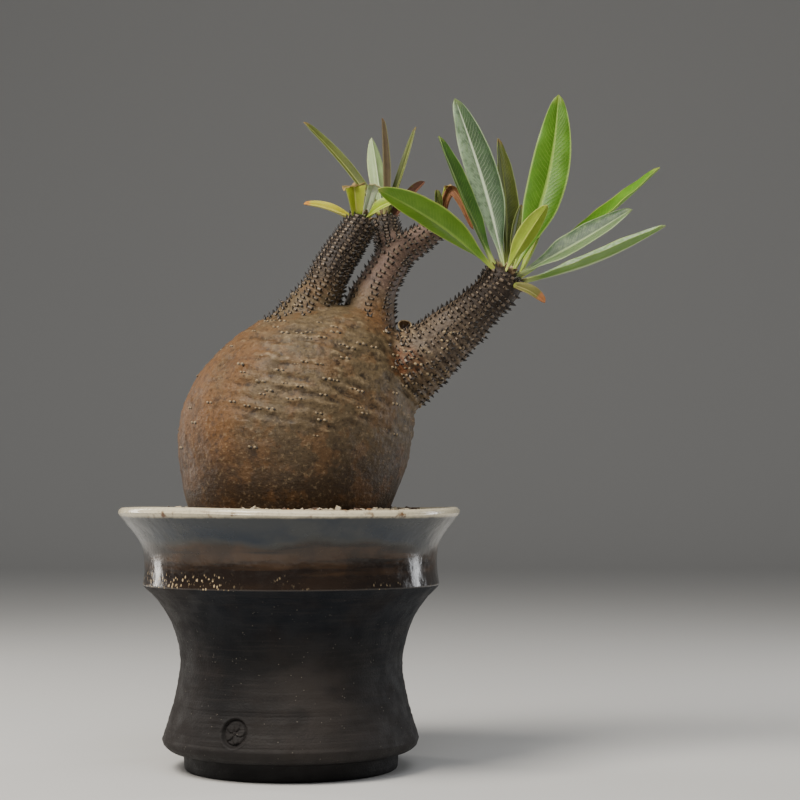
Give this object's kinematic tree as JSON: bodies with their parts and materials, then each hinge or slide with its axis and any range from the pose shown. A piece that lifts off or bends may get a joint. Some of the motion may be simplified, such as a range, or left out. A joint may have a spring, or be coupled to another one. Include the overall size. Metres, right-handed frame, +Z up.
{
  "type": "potted pachypodium",
  "caption": "Caudex succulent with a swollen, wrinkled body, short spiny branches and narrow leaves, in a waisted stoneware pot of gritty soil.",
  "frame": {"origin": "centre of the bounding box's underside, in the plane that the pot's foot stands on", "axes": "+Z up, the longest extent; +X to the right as seen from the front; +Y to the back"},
  "size_m": [0.1883, 0.116, 0.233],
  "materials": {
    "stoneware": "matte",
    "net_plastic": "matte",
    "grit": "matte",
    "bark": "satin",
    "leaf_green": "satin",
    "leaf_olive": "satin",
    "leaf_yellow": "satin",
    "leaf_dry": "matte"
  },
  "bodies": {
    "root": {"pot": "stoneware", "drain_net": "net_plastic", "soil": "grit", "caudex": "bark", "leaf_right_01": "leaf_green", "leaf_right_02": "leaf_green", "leaf_right_03": "leaf_green", "leaf_right_04": "leaf_green", "leaf_right_05": "leaf_green", "leaf_right_06": "leaf_green", "leaf_right_07": "leaf_green", "leaf_right_08": "leaf_green", "leaf_right_09": "leaf_green", "leaf_right_10": "leaf_green", "leaf_right_11": "leaf_green", "leaf_right_dry": "leaf_dry", "leaf_left_01": "leaf_olive", "leaf_left_02": "leaf_olive", "leaf_left_03": "leaf_olive", "leaf_left_04": "leaf_olive", "leaf_left_05": "leaf_yellow", "leaf_left_06": "leaf_yellow", "leaf_left_cut": "leaf_yellow", "leaf_left_stub": "leaf_yellow", "leaf_left_dry": "leaf_dry", "leaf_third_01": "leaf_green", "leaf_third_02": "leaf_green", "leaf_third_dry": "leaf_dry"}
  },
  "joints": []
}
